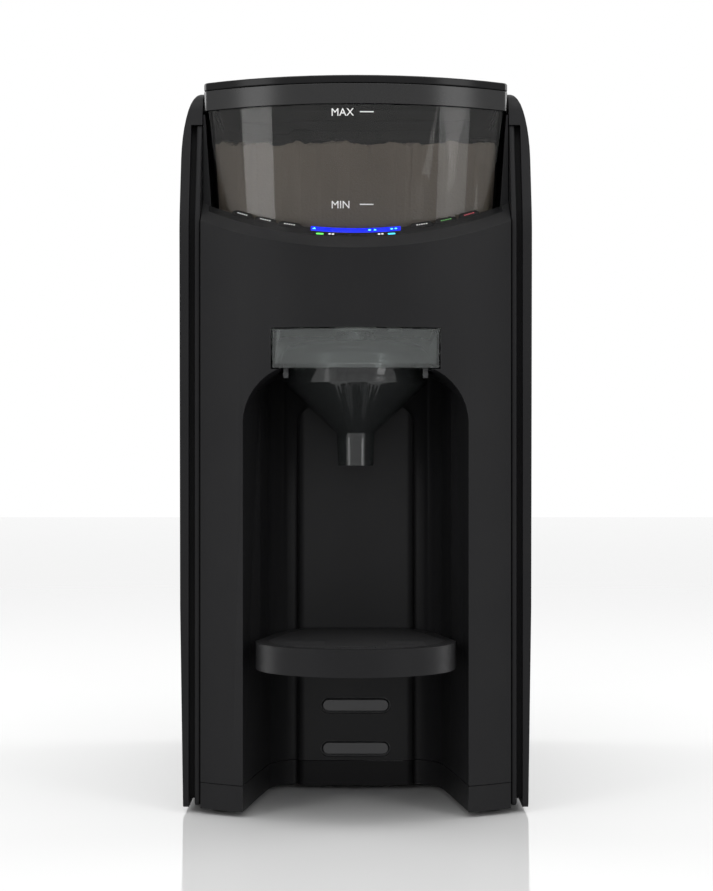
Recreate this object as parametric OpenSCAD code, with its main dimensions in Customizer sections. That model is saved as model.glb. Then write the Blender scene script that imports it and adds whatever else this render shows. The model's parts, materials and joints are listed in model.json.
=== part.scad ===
// Countertop formula dispenser: a clear powder tub over a dosing wheel, a water tank at the back
// with pump and heater, a funnel drawer that mixes the two, and a bay with a bottle stand.
// Millimetres. +Z up, the front faces -Y, the origin is under the middle of the whole footprint.

/* [Body] */
// Width over the side panels
body_w = 193; // [184:1:230]
// Depth from the middle of the curved front to the back
body_d = 274; // [268:1:330]
// Height of the side panels above the table
body_h = 399.5; // [392:0.5:480]
// Radius of the curved front
front_r = 164; // [140:1:220]
// Wall thickness of the moulded shells
wall = 2.4; // [1.8:0.1:3]
// Thickness of each outer side panel
panel_t = 5; // [4:0.5:7]
// Width of the dark channel beside each panel
channel_w = 3.2; // [2:0.1:5]
// Width of the inner side strip
strip_w = 3; // [2:0.1:4]
// Height of the base pan above the table
base_top = 17; // [14:1:24]
// Height of the feet below the base pan
foot_h = 3; // [2:0.5:5]
// Radius of one foot
foot_r = 9; // [6:0.5:11]

/* [Control strip] */
// Height of the front edge where the sloped strip starts
crease_z = 307; // [300:1:360]
// Tilt of the strip from level
strip_tilt = 36; // [25:1:42]
// Matte border in front of the glossy strip, in plan
border_w = 9.5; // [6:0.5:12]
// Thickness of the glossy strip
fascia_t = 2.2; // [1.6:0.1:3]
// How far a button stands proud of the strip
button_proud = 0.2; // [0:0.1:1]
// Half length of the display window
display_half = 24.4; // [15:0.1:28]
// Width of the display window along the slope
display_w = 4.8; // [3:0.1:6]
// Length of one button
button_l = 12.6; // [9:0.1:13]
// Width of one button
button_w = 5.4; // [4:0.1:7]
// Travel of a button
button_travel = 0.6; // [0.3:0.1:1]

/* [Bottle bay] */
// Width of the bay at the front
bay_w = 122; // [100:1:130]
// Height of the top of the bay
bay_top = 245; // [235:1:290]
// Corner radius of the arch
bay_corner = 32; // [20:1:44]
// Depth of the bay behind the middle of the front
bay_d = 97; // [80:1:110]
// Width of the flat column at the back of the bay
column_w = 68; // [56:1:76]
// How far the column stands out of the bay's back wall
column_t = 6; // [4:0.5:9]
// Height of the top of the column
column_top = 225; // [190:1:232]

/* [Bottle stand] */
// Half width of the stand
stand_half = 54; // [44:0.5:56]
// Thickness of the stand
stand_t = 14.5; // [10:0.5:18]
// Height of the top of the stand
stand_z = 95; // [90:1:110]
// How far the stand reaches in front of the middle of the front
stand_reach = 26; // [10:1:40]
// Length of one slot in the column
slot_l = 40.8; // [30:0.1:46]
// Height of one slot
slot_h = 9.2; // [7:0.1:12]
// Height of the lowest slot
slot_z = 24.2; // [22:0.1:30]
// Distance between slots
slot_pitch = 25.2; // [20:0.1:30]

/* [Powder tub] */
// Half width of the tub at its top
tub_half = 83.6; // [70:0.1:84]
// Depth of the tub at its top
tub_d = 129; // [124:0.1:156]
// Height of the tub's floor above the table
tub_floor = 304; // [300:1:330]
// Height of the top of the tub over the side panels
tub_rise = -2.5; // [-12:0.5:6]
// Narrowing of the tub from top to floor
tub_taper = 0.925; // [0.88:0.005:1]
// Height of the collar round the top
collar_h = 11; // [8:0.5:16]
// Thickness of the lid's rim
lid_t = 4.4; // [3:0.1:8]
// Number of powder chambers in the wheel
chambers = 8; // [4:1:12]

/* [Funnel drawer] */
// Half width of the drawer
drawer_half = 45; // [40:0.5:50]
// Height of the top of the drawer
drawer_top = 264; // [262:1:310]
// Height of the drawer's floor
drawer_z = 243; // [230:1:290]
// Outer radius of the funnel
funnel_r = 40; // [32:0.5:42]
// Outer radius of the funnel's neck
neck_r = 10.7; // [8:0.1:14]
// Height of the top of the neck
neck_z = 208; // [200:1:225]
// Height of the spout's end
spout_z = 190; // [170:1:200]
// Distance of the funnel's axis behind the middle of the front
funnel_back = 52; // [46:1:56]

/* [Water tank] */
// Depth of the tank
tank_d = 98; // [70:1:110]
// Height of the tank's floor above the table
tank_z = 72; // [68:1:90]
// How far the top of the tank's wall lies below the top of the side panels
tank_drop = 18.5; // [12:0.5:40]
// Outer radius of the tank's valve neck
valve_r = 9; // [7:0.5:12]

/* [Drive] */
// Teeth on the drive gear
gear_teeth = 40; // [30:1:44]
// Teeth on the motor pinion
pinion_teeth = 12; // [10:1:16]
// Size of the teeth
gear_module = 1; // [0.8:0.1:1.2]
// Radius of the drive shaft
shaft_r = 4; // [3:0.5:5]

/* [Fits] */
// Gap between pieces that move past each other
clear = 0.6; // [0.4:0.1:1]
// Visible seam between fixed shells
seam = 0.4; // [0.2:0.1:0.8]
// Radial gap of a running fit
run_fit = 0.06; // [0.02:0.01:0.1]

/* [Hidden] */
$fn = 96;
big = 1000;
eps = 0.01;
front_y = -(stand_reach + body_d) / 2 + stand_reach;
rear_y = front_y + body_d;
arc_y = front_y + front_r;
shell_half = body_w / 2 - panel_t - channel_w - strip_w - seam;
strip_in = shell_half + seam;
panel_in = body_w / 2 - panel_t;
side_y = arc_y - sqrt(front_r * front_r - shell_half * shell_half);
shoulder = 40;
shoulder_in = panel_t + channel_w + strip_w - 0.2;
set_back = 22;
cap_t = 4;
cap_h = 20;
split_y = front_y + bay_d + 6;
bay_y = front_y + bay_d;
column_y = bay_y - column_t;
deck_z = drawer_top + 4;
tub_top = body_h + tub_rise;
tub_y = front_y + 17 + tub_d / 2;
tub_back = tub_y + tub_d / 2;
tub_h = tub_top - tub_floor;
tub_hole = clear + 0.4;
axis_y = tub_y;
outlet_y = front_y + funnel_back - 10;
outlet_r = 9;
outlet_reach = axis_y - outlet_y;
wheel_r = outlet_reach + outlet_r + 6.5;
wheel_z = tub_floor + wall + 0.5;
wheel_h = 9;
scraper_z = wheel_z + wheel_h + 0.5;
stir_z = scraper_z + 3;
gear_z = tub_floor - 17;
gear_h = 6;
gear_r = gear_teeth * gear_module / 2;
pinion_r = pinion_teeth * gear_module / 2;
mesh_gap = 0.35;
pinion_y = axis_y + gear_r + pinion_r + mesh_gap;
funnel_y = front_y + funnel_back;
funnel_wall = 1.8;
nozzle_x = 22;
nozzle_y = funnel_y + 6;
motor_r = 11;
// Where the inside of the curved front meets the inside of the side walls
inner_y = arc_y - sqrt(pow(front_r - wall, 2) - pow(shell_half - wall, 2)) + 0.5;
drawer_back = funnel_y + funnel_r + 4;
tank_front = max(rear_y - 2.6 - tank_d, tub_back + 9);
tank_half = shell_half - 1.6;
tank_back = rear_y - 2.6;
tank_top = body_h - tank_drop;
tank_mid = (tank_front + tank_back) / 2;
tank_round = 16;
valve_y = tank_front + 24;
shelf_z = tank_z - 6;
hinge_y = tank_back - 3.2;
hinge_z = tank_top + 3.4;
hinge_r = 3;
pin_r = 1.5;
ear_x = 22;
ear_w = 7.2;
float_y = tank_mid + 10;
float_x = tank_half - 18;
strip_r = front_r - border_w;
button_r = strip_r - 6.2;
stem_l = 5.4;
board_top = -(stem_l + button_travel + 2);
gland_x = -48;
gland_z = 36;
gland_r = 3.6;
gland_l = 12;
lid_z = tub_top + 1.2;
rail_z = drawer_z + 11;
tongue = 3;
tongue_l = 12;
pump_x = 46;
pump_y = split_y + 34;
heater_x = -40;
heater_y = pump_y - 6;
hook_z = slot_z + 2 * slot_pitch;
corner_parts = 10;

// Shared outlines
function unit(v) = v / norm(v);
function arc_points(c, r, a0, a1, n) = [for (i = [0 : n]) let (a = a0 + (a1 - a0) * i / n)
    c + r * [cos(a), sin(a)]];
// The points of a corner at b between a and c, rounded to radius r
function corner(a, b, c, r) = let (u = unit(a - b), v = unit(c - b), h = acos(u * v) / 2,
    m = b + unit(u + v) * r / sin(h), p = b + u * r / tan(h) - m, q = b + v * r / tan(h) - m,
    a0 = atan2(p.y, p.x), d0 = atan2(q.y, q.x) - a0,
    d = d0 > 180 ? d0 - 360 : d0 < -180 ? d0 + 360 : d0)
    arc_points(m, r, a0, a0 + d, corner_parts);
// An outline from [x, y, radius] corners
function rounded(pts) = let (n = len(pts)) [for (i = [0 : n - 1]) let (p = pts[i])
    each p[2] < 0.05 ? [[p.x, p.y]] : corner([pts[(i + n - 1) % n].x, pts[(i + n - 1) % n].y],
        [p.x, p.y], [pts[(i + 1) % n].x, pts[(i + 1) % n].y], p[2])];

// Material between the curved front moved in by "inset" and the plane y = back
module curved_block(half, inset, back, z0, z1) {
    intersection() {
        translate([0, arc_y, z0]) cylinder(r = front_r - inset, h = z1 - z0, $fn = 180);
        translate([-half, front_y - 1, z0]) cube([2 * half, back - front_y + 1, z1 - z0]);
    }
}

// Half space below the sloped strip, moved along its normal by "off"
module below_strip(off) {
    translate([0, front_y, crease_z]) rotate([strip_tilt, 0, 0])
        translate([-big / 2, -big / 2, off - big]) cube([big, big, big]);
}

// Layer of the sloped strip between two distances from its surface
module strip_layer(low, high) {
    translate([0, front_y, crease_z]) rotate([strip_tilt, 0, 0])
        translate([-big / 2, -big / 2, low]) cube([big, big, high - low]);
}

// Plan of the tub: the curved front, straight sides and rounded back corners
module tub_plan(grow, k = 1) {
    half = (tub_half + grow) * k;
    deep = (tub_d / 2 + grow) * k;
    r = front_r * k;
    polygon(rounded(concat(
        [for (i = [-7 : 7]) let (x = half * i / 7)
            [x, -deep + r - sqrt(r * r - x * x), abs(i) == 7 ? 5 : 0]],
        [[half, deep, 24], [-half, deep, 24]])));
}

module tub_prism(grow, z0, z1) {
    translate([0, tub_y, z0]) linear_extrude(height = z1 - z0) tub_plan(grow);
}

// The tub's tapered outer form, from "low" above its floor to "high", moved in by "inset"
function taper_at(z) = tub_taper + (1 - tub_taper) * z / tub_h;
module tub_form(inset, low, high) {
    k0 = taper_at(low);
    k1 = taper_at(high);
    translate([0, tub_y, tub_floor + low])
        linear_extrude(height = high - low, scale = k1 / k0) tub_plan(-inset, k0);
}

// Plan of the bottle bay, open at the front
module bay_plan(grow) {
    half = bay_w / 2 + grow;
    back = bay_y + grow;
    polygon(rounded([[-half, front_y - 20, 0], [half, front_y - 20, 0], [half, front_y + 14, 30],
        [half - 7, front_y + 58, 34], [half - 14, back, 24], [-half + 14, back, 24],
        [-half + 7, front_y + 58, 34], [-half, front_y + 14, 30]]));
}

// Front view of the bay: straight sides and an arched top
module bay_arch(grow, z0) {
    half = bay_w / 2 + grow;
    top = bay_top + grow;
    round_r = bay_corner + grow;
    polygon(rounded([[-half, z0, 0], [half, z0, 0], [half, top, round_r], [-half, top, round_r]]));
}

module bay_space(grow, z0) {
    intersection() {
        translate([0, 0, z0]) linear_extrude(height = bay_top + grow + 5 - z0) bay_plan(grow);
        translate([0, bay_y + 20, 0]) rotate([90, 0, 0])
            linear_extrude(height = bay_d + 60) bay_arch(grow, z0 - 1);
    }
}

// A bar with round ends along X, its length over the ends
module pill(l, w, h) {
    translate([-(l - w) / 2, 0, 0]) cylinder(d = w, h = h, $fn = 48);
    translate([(l - w) / 2, 0, 0]) cylinder(d = w, h = h, $fn = 48);
    translate([-(l - w) / 2, -w / 2, 0]) cube([l - w, w, h]);
}

// The same bar standing up, its height along Z and its depth along +Y
module slot_bar(l, w, y0, y1, z) {
    translate([0, y1, z]) rotate([90, 0, 0]) pill(l, w, y1 - y0);
}

module ring(r_out, r_in, h) {
    difference() {
        cylinder(r = r_out, h = h);
        translate([0, 0, -eps]) cylinder(r = r_in, h = h + 2 * eps);
    }
}

// Toothed disc with straight flanks, pitch radius "pr"
module teeth_disc(n, pr, h) {
    step = 360 / n;
    tip = pr + gear_module * 0.9;
    root = pr - gear_module * 1.1;
    linear_extrude(height = h) polygon([for (i = [0 : n - 1]) each [
        root * [cos(step * (i - 0.30)), sin(step * (i - 0.30))],
        tip * [cos(step * (i - 0.13)), sin(step * (i - 0.13))],
        tip * [cos(step * (i + 0.13)), sin(step * (i + 0.13))],
        root * [cos(step * (i + 0.30)), sin(step * (i + 0.30))]]]);
}

// Housing
housing_color = [0.16, 0.16, 0.17];

module base_pan() {
    color(housing_color) difference() {
        curved_block(shell_half, 0.3, rear_y, foot_h, base_top);
        curved_block(shell_half - wall, wall, rear_y - wall, foot_h + wall, base_top + 1);
        translate([0, 0, foot_h - 1]) linear_extrude(height = base_top) bay_plan(wall + seam);
        foot_places() translate([0, 0, foot_h - 1]) cylinder(r = foot_r * 0.6, h = wall + 2);
    }
    color(housing_color) difference() {
        intersection() {
            curved_block(shell_half, 0.3, bay_y + wall + seam, foot_h, base_top);
            translate([0, 0, foot_h]) linear_extrude(height = base_top) bay_plan(wall + seam);
        }
        translate([0, 0, foot_h - 1]) linear_extrude(height = base_top + 2) bay_plan(0);
    }
    color(housing_color) translate([0, 0, foot_h]) linear_extrude(height = base_top - foot_h) column_plan();
}

module foot_places() {
    for (x = [-1, 1], y = [side_y + 14, rear_y - 24]) translate([x * (shell_half - 12), y, 0]) children();
}

module feet() {
    color([0.08, 0.08, 0.08]) foot_places() {
        cylinder(r1 = foot_r - 1, r2 = foot_r, h = foot_h);
        cylinder(r = foot_r * 0.6 - 0.1, h = foot_h + wall);
    }
}

module front_shell() {
    back = split_y;
    color(housing_color) difference() {
        union() {
            difference() {
                intersection() {
                    curved_block(shell_half, 0, back, base_top + seam, body_h);
                    below_strip(0);
                }
                intersection() {
                    curved_block(shell_half - wall, wall, back + 1, base_top, body_h);
                    below_strip(-wall);
                }
            }
            intersection() {
                bay_space(wall, base_top + seam);
                curved_block(shell_half, 1, back, base_top + seam, body_h);
            }
        }
        bay_space(0, 0);
        drawer_slot();
        fascia_recess();
        tub_room();
        column_form();
    }
}

// Room for the tub, right out to the side trims where it is widest
module tub_room() {
    low = tub_floor - 2;
    start = front_y + 42;
    tub_prism(tub_hole, low, body_h + 1);
    both_sides() translate([tub_half - 5, start, low])
        cube([shell_half, tub_back - 24 - start, body_h]);
}

// Way of the funnel drawer through the front and the top of the bay
module drawer_slot() {
    half = drawer_half + clear;
    translate([-half, front_y - 5, drawer_z - clear])
        cube([2 * half, drawer_back + 8 - front_y, drawer_top + clear * 2 - drawer_z]);
    translate([0, funnel_y, neck_z]) cylinder(r = funnel_r + 4, h = drawer_z - neck_z);
}

module fascia_ring(inset, low, high, cut_gap) {
    difference() {
        intersection() {
            strip_layer(low, high);
            translate([0, arc_y, tub_floor - 40]) cylinder(r = strip_r - inset, h = 120, $fn = 180);
            translate([-shell_half + 4 + inset, front_y, tub_floor - 40])
                cube([2 * (shell_half - 4 - inset), 70, 120]);
        }
        tub_prism(tub_hole + cut_gap, tub_floor - 50, tub_top);
    }
}

module fascia_recess() {
    fascia_ring(-0.2, -fascia_t, 4, -5);
    intersection() {
        strip_layer(-wall - 6, 4);
        for (i = [0 : 5]) button_place(i)
            translate([0, 0, -8]) pill(button_l + clear, button_w + clear, 12);
    }
}

// Place of button i on the strip: three each side, along the curve
function button_angle(i) = (i < 3 ? -1 : 1) * (14.1 + 5.4 * (i < 3 ? i : i - 3)) * 148 / button_r;
module button_place(i) {
    a = button_angle(i);
    y = arc_y - button_r * cos(a);
    translate([0, front_y, crease_z]) rotate([strip_tilt, 0, 0])
        translate([button_r * sin(a), (y - front_y) / cos(strip_tilt), 0])
            rotate([0, 0, atan2(sin(a) / cos(strip_tilt), cos(a))]) children();
}

module control_fascia() {
    color([0.03, 0.03, 0.035]) difference() {
        fascia_ring(0, -fascia_t, 0, 0);
        for (i = [0 : 5]) button_place(i)
            translate([0, 0, -5]) pill(button_l + 0.5, button_w + 0.5, 10);
        display_bar(0.1, -1, 1);
        for (x = [-1, 1]) light_place(x) translate([0, 0, -0.8]) pill(4.4, 1.8, 2);
    }
}

module display_bar(grow, low, high) {
    mid = (5.8 + 1) * cos(strip_tilt);
    half_w = display_w / 2 * cos(strip_tilt) + grow;
    intersection() {
        strip_layer(low, high);
        translate([0, arc_y, crease_z - 30]) difference() {
            cylinder(r = strip_r - mid + half_w, h = 60, $fn = 180);
            translate([0, 0, -1]) cylinder(r = strip_r - mid - half_w, h = 62, $fn = 180);
        }
        translate([-display_half - grow, front_y, crease_z - 30])
            cube([2 * (display_half + grow), 40, 60]);
    }
}

module display() {
    color([0.1, 0.15, 0.9]) display_bar(0, -0.9, 0);
}

module light_place(side) {
    x = side * (display_half - 5);
    y = arc_y - sqrt(pow(strip_r - 1.4, 2) - x * x);
    translate([0, front_y, crease_z]) rotate([strip_tilt, 0, 0])
        translate([x, (y - front_y) / cos(strip_tilt), 0]) rotate([0, 0, side * 7]) children();
}

module indicator_lights() {
    color([0.2, 0.8, 0.5]) for (x = [-1, 1]) light_place(x) translate([0, 0, -0.7]) pill(4.2, 1.6, 0.75);
}

module button(i) {
    color([0.05, 0.05, 0.055]) button_place(i) {
        translate([0, 0, -2.6]) pill(button_l, button_w, 2.6 + button_proud);
        translate([0, 0, -stem_l]) cylinder(r = 1.2, h = 3, $fn = 32);
    }
}
module button_1() { button(0); }
module button_2() { button(1); }
module button_3() { button(2); }
module button_4() { button(3); }
module button_5() { button(4); }
module button_6() { button(5); }

module main_board() {
    color([0.05, 0.3, 0.15]) translate([0, front_y, crease_z]) rotate([strip_tilt, 0, 0])
        translate([-36, 4, board_top - 1.6]) cube([72, 9, 1.6]);
    color([0.2, 0.2, 0.2]) for (x = [-27, -9, 9, 27])
        translate([x, front_y, crease_z]) rotate([strip_tilt, 0, 0])
            translate([-5, 6, board_top - 3.3]) cube([10, 5, 1.7]);
}

module column_plan() {
    half = column_w / 2;
    polygon(rounded([[-half, bay_y + wall, 0], [-half, column_y, 4.5],
        [half, column_y, 4.5], [half, bay_y + wall, 0]]));
}

module column_form() {
    half = column_w / 2 + 1;
    intersection() {
        translate([0, 0, base_top + seam]) linear_extrude(height = column_top) column_plan();
        translate([0, bay_y + wall + 1, 0]) rotate([90, 0, 0])
            linear_extrude(height = column_t + wall + 2) polygon(rounded([[-half, base_top - 1, 0],
                [half, base_top - 1, 0], [half, column_top, 14], [-half, column_top, 14]]));
    }
}

module stand_column() {
    color(housing_color) difference() {
        column_form();
        translate([-column_w / 2 + wall, column_y + wall, base_top])
            cube([column_w - 2 * wall, column_t + 1, column_top - base_top - 8]);
        for (i = [0 : 2]) slot_bar(slot_l, slot_h, column_y - 1, bay_y + 1, slot_z + i * slot_pitch);
    }
}

module slot_plates() {
    color([0.22, 0.22, 0.23]) for (i = [0 : 1])
        slot_bar(slot_l - 2.2, slot_h - 2.2, column_y + 1, column_y + wall + 2, slot_z + i * slot_pitch);
    color([0.22, 0.22, 0.23]) translate([-column_w / 2 + wall + 0.4, column_y + wall + 1, base_top + 1])
        cube([column_w - 2 * wall - 0.8, 1.2, slot_z + slot_pitch * 1.5 - base_top]);
}

// Side trims share one side view: a tall plate that leans back beside the tub
module side_view(inset) {
    rotate([90, 0, 90]) linear_extrude(height = big, center = true) polygon(rounded([
        [side_y + 1 + inset, foot_h + inset, 3], [rear_y - 1.5 - inset, foot_h + inset, 6],
        [rear_y - 1.5 - inset, body_h - inset, 30], [side_y + set_back + inset, body_h - inset, 16],
        [side_y + 1 + inset, crease_z + 18, 60]]));
}

// Front view of the right side trims together: a slight belly and one shoulder over all of them
module shoulder_view() {
    outer = body_w / 2;
    rise = body_h - shoulder;
    rotate([90, 0, 0]) linear_extrude(height = big, center = true) polygon(concat(
        [[strip_in, foot_h - 1], [outer - 2, foot_h - 1], [outer - 0.4, foot_h + 110], [outer, rise - 60]],
        [for (i = [0 : 10]) [outer - shoulder_in + shoulder_in * cos(i * 9), rise + shoulder * sin(i * 9)]],
        [[strip_in, body_h]]));
}

module both_sides() {
    children();
    mirror([1, 0, 0]) children();
}

// One side trim between two distances from the middle, and its mirror image
module side_trim(inner, outer, inset) {
    both_sides() intersection() {
        side_view(inset);
        shoulder_view();
        translate([inner, -big / 2, 0]) cube([outer - inner, big, body_h + 1]);
    }
}

// The plates, each with a cap that closes the channel and the strip at the top
module side_panels() {
    color(housing_color) {
        side_trim(panel_in, body_w / 2 + 1, 0);
        difference() {
            side_trim(strip_in, panel_in + eps, 0);
            below_cap(0);
        }
    }
}

// All that lies under the caps, moved down by "gap"
module below_cap(gap) {
    side_view(cap_t + gap);
    translate([-big / 2, -big / 2, body_h - cap_h - gap - big]) cube([big, big, big]);
}

module side_channels() {
    color([0.06, 0.06, 0.065]) side_trim(panel_in - channel_w, panel_in, cap_t + 0.1);
}

module side_strips() {
    color(housing_color) intersection() {
        side_trim(strip_in, strip_in + strip_w, 0.8);
        below_cap(0.1);
    }
}

// Fillers between the tub's leaning sides and the side trims
module tub_cheeks() {
    start = front_y + 42.1;
    low = tub_floor - 1.9;
    high = body_h - 14;
    inner_low = tub_half * tub_taper + tub_hole;
    inner_high = tub_half * taper_at(high - tub_floor) + tub_hole;
    color(housing_color) both_sides() translate([0, tub_back - 24.1, 0]) rotate([90, 0, 0])
        linear_extrude(height = tub_back - 24.1 - start) polygon([
            [inner_low, low], [shell_half, low], [shell_half, high], [inner_high, high]]);
}

module inner_deck() {
    color([0.75, 0.75, 0.73]) {
        difference() {
            translate([-shell_half + wall + 0.3, inner_y, deck_z])
                cube([2 * (shell_half - wall - 0.3), tank_front - 5.2 - inner_y, wall]);
            translate([0, outlet_y, deck_z - 1]) cylinder(r = outlet_r + 5, h = wall + 2);
            translate([0, pinion_y, deck_z - 1]) cylinder(r = motor_r + 0.4, h = wall + 2);
            translate([nozzle_x, nozzle_y, deck_z - 1]) cylinder(r = 4.2, h = wall + 2);
            translate([0, axis_y, deck_z - 1]) cylinder(r = shaft_r + run_fit, h = wall + 2);
        }
        translate([0, axis_y, deck_z + wall])
            ring(shaft_r + 4, shaft_r + run_fit, gear_z - deck_z - wall - 0.6);
        for (x = [-1, 1]) translate([x * (shell_half - 10), tub_back - 20, deck_z + wall])
            cylinder(r = 4, h = tub_floor - 5 - deck_z - wall);
    }
}

module tub_seat() {
    color([0.13, 0.13, 0.14]) difference() {
        translate([-shell_half + wall + 0.3, inner_y, tub_floor - 5])
            cube([2 * (shell_half - wall - 0.3), tub_back + 4 - inner_y, wall]);
        translate([0, axis_y, tub_floor - 6]) cylinder(r = 14, h = 5);
        translate([0, outlet_y, tub_floor - 6]) cylinder(r = outlet_r + 3.4, h = 5);
    }
    color([0.13, 0.13, 0.14]) for (x = [-1, 1], y = [-34, 34])
        translate([x * 50, axis_y + y, tub_floor - 5 + wall]) cylinder(r = 5, h = 5 - wall);
}

module rear_shell() {
    start = split_y + seam;
    half = shell_half - wall;
    color(housing_color) difference() {
        translate([-shell_half, start, base_top + seam])
            cube([2 * shell_half, rear_y - start, shelf_z + wall - base_top - seam]);
        translate([-half, start - 1, base_top])
            cube([2 * half, rear_y - start - wall + 1, shelf_z - base_top]);
        translate([-half, start - 1, base_top])
            cube([2 * half, tank_front - 4 - start, shelf_z + wall + 1 - base_top]);
        translate([0, valve_y, shelf_z - 1]) cylinder(r = valve_r + 5, h = wall + 2);
        translate([gland_x, rear_y - wall - 1, gland_z]) rotate([-90, 0, 0]) cylinder(r = 6, h = wall + 2);
        for (z = [28 : 7 : 49]) translate([-20, rear_y - wall - 1, z]) cube([70, wall + 2, 3]);
    }
}

// Wall in front of the tank, with the sides that reach forward to the front shell
module tank_wall() {
    start = split_y + seam;
    half = shell_half - wall;
    low = shelf_z + wall + 0.1;
    deep = tank_front - 2.2 - start;
    color(housing_color) difference() {
        translate([-shell_half, start, low]) cube([2 * shell_half, deep, body_h - 6 - low + 0.1]);
        translate([-half, start - 1, shelf_z]) cube([2 * half, deep - wall + 1, big]);
        tub_room();
    }
}

module top_bridge() {
    color(housing_color) difference() {
        translate([-shell_half + wall + 0.3, tub_back - 12, body_h - 9])
            cube([2 * (shell_half - wall - 0.3), tank_front + 6.8 - tub_back, 5]);
        tub_prism(tub_hole + 0.2, tub_floor, body_h + 1);
    }
}

module cord_gland() {
    color([0.05, 0.05, 0.05]) translate([gland_x, rear_y, gland_z]) rotate([90, 0, 0]) difference() {
        union() {
            cylinder(r = 5.9, h = gland_l);
            translate([0, 0, wall + 0.1]) cylinder(r = 7.6, h = 2.4);
        }
        translate([0, 0, -1]) cylinder(r = gland_r, h = gland_l + 2);
    }
}

module case_screws() {
    color([0.6, 0.6, 0.62]) for (x = [-1, 1], y = [side_y + 34, 20, rear_y - 46])
        translate([x * (shell_half - 9), y, foot_h - 0.6]) difference() {
            union() {
                cylinder(r = 3.2, h = 0.55, $fn = 32);
                cylinder(r = 1.4, h = 0.59, $fn = 24);
            }
            translate([-2.4, -0.4, -1]) cube([4.8, 0.8, 1.3]);
        }
}

// Powder tub
module powder_tub() {
    color([0.75, 0.75, 0.75, 0.5]) difference() {
        tub_form(0, 0, tub_h);
        tub_form(wall, wall, tub_h + 1);
        translate([0, axis_y, tub_floor - 1]) cylinder(r = shaft_r + 4.6, h = wall + 2);
        translate([0, outlet_y, tub_floor - 1]) cylinder(r = outlet_r, h = wall + 2);
    }
}

module tub_collar() {
    color([0.45, 0.45, 0.46]) difference() {
        tub_prism(0.8, tub_top - collar_h + 1, tub_top + 1);
        tub_prism(0.05, tub_top - collar_h, tub_top);
        tub_prism(-wall, tub_top - 1, tub_top + 2);
    }
}

module tub_lid() {
    color([0.05, 0.05, 0.055]) {
        tub_prism(0.8, lid_z, lid_z + lid_t);
        translate([0, tub_y, 0]) difference() {
            translate([0, 0, lid_z - 7]) linear_extrude(height = 7.1) tub_plan(-wall - 2);
            translate([0, 0, lid_z - 8]) linear_extrude(height = 8) tub_plan(-wall - 4);
        }
    }
}

module lid_seal() {
    color([0.8, 0.8, 0.78]) translate([0, tub_y, lid_z - 5.5]) difference() {
        linear_extrude(height = 2) tub_plan(-wall - 1.2);
        translate([0, 0, -1]) linear_extrude(height = 4) tub_plan(-wall - 2);
    }
}

module measuring_wheel() {
    color([0.86, 0.86, 0.84]) translate([0, axis_y, wheel_z]) difference() {
        cylinder(r = wheel_r, h = wheel_h);
        translate([0, 0, -1]) cylinder(r = shaft_r + run_fit, h = wheel_h + 2);
        for (i = [0 : chambers - 1]) rotate([0, 0, i * 360 / chambers + 180 / chambers])
            translate([outlet_reach, 0, -1]) cylinder(r = outlet_r - 1, h = wheel_h + 2);
        translate([0, 0, wheel_h - 3]) ring(wheel_r - 4, outlet_reach + outlet_r + 1, 4);
    }
}

module scraper_plate() {
    color([0.9, 0.9, 0.88]) intersection() {
        translate([0, axis_y, scraper_z]) ring(wheel_r + 8, shaft_r + 6, 1.6);
        translate([0, axis_y, 0]) linear_extrude(height = body_h)
            polygon([[0, 0], [-34, -80], [34, -80]]);
        tub_form(wall + 0.02, wall + 0.1, tub_h);
    }
}

module stirring_wheel() {
    color([0.85, 0.2, 0.15]) translate([0, axis_y, stir_z]) difference() {
        union() {
            cylinder(r = shaft_r + 5, h = 16);
            for (a = [20 : 90 : 290]) rotate([0, 0, a]) {
                translate([shaft_r + 3, -1.5, 1]) cube([wheel_r - 16, 3, 6]);
                translate([wheel_r - 11, 0, 1]) cylinder(r = 4, h = 22);
            }
        }
        translate([0, 0, -1]) cylinder(r = shaft_r + run_fit, h = 18);
    }
}

module hub_cap() {
    color([0.3, 0.3, 0.32]) translate([0, axis_y, 0]) {
        translate([0, 0, tub_floor + 0.4]) cylinder(r = shaft_r, h = stir_z + 16.3 - tub_floor - 0.4);
        translate([0, 0, stir_z + 16.2]) cylinder(r = shaft_r + 3.5, h = 3);
        translate([0, 0, stir_z + 19.2 - eps]) cylinder(r1 = shaft_r + 3.5, r2 = shaft_r + 1.5, h = 2);
        translate([0, 0, tub_floor + 0.4]) cylinder(r = shaft_r + 3.6, h = 1.9);
    }
}

// Drive
module drive_gear() {
    color([0.92, 0.9, 0.82]) translate([0, axis_y, 0]) {
        translate([0, 0, gear_z]) teeth_disc(gear_teeth, gear_r, gear_h);
        translate([0, 0, deck_z + 0.6]) cylinder(r = shaft_r, h = gear_z - deck_z);
        translate([0, 0, gear_z + gear_h - eps])
            cylinder(r = shaft_r + 4, h = tub_floor - gear_z - gear_h - 0.2);
    }
}

module motor_pinion() {
    color([0.7, 0.65, 0.4]) translate([0, pinion_y, gear_z]) rotate([0, 0, 90 + 180 / pinion_teeth])
        difference() {
            teeth_disc(pinion_teeth, pinion_r, gear_h);
            translate([0, 0, -1]) cylinder(r = 1.5 + run_fit, h = gear_h + 2);
        }
}

module gear_motor() {
    color([0.6, 0.6, 0.62]) translate([0, pinion_y, 0]) {
        translate([0, 0, deck_z - 15]) cylinder(r = motor_r, h = 23);
        translate([0, 0, deck_z + 8 - eps]) cylinder(r = 1.5, h = gear_z + gear_h - deck_z - 8);
        translate([-16, -4, deck_z + wall]) cube([32, 8, 1.6]);
    }
}

module powder_chute() {
    color([0.8, 0.8, 0.78]) translate([0, outlet_y, 0]) {
        translate([0, 0, drawer_top + 1])
            ring(outlet_r + 3, outlet_r + 0.6, tub_floor - drawer_top - 1.8);
        translate([0, 0, deck_z + wall]) ring(outlet_r + 7, outlet_r + 2.9, 1.6);
    }
}

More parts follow.
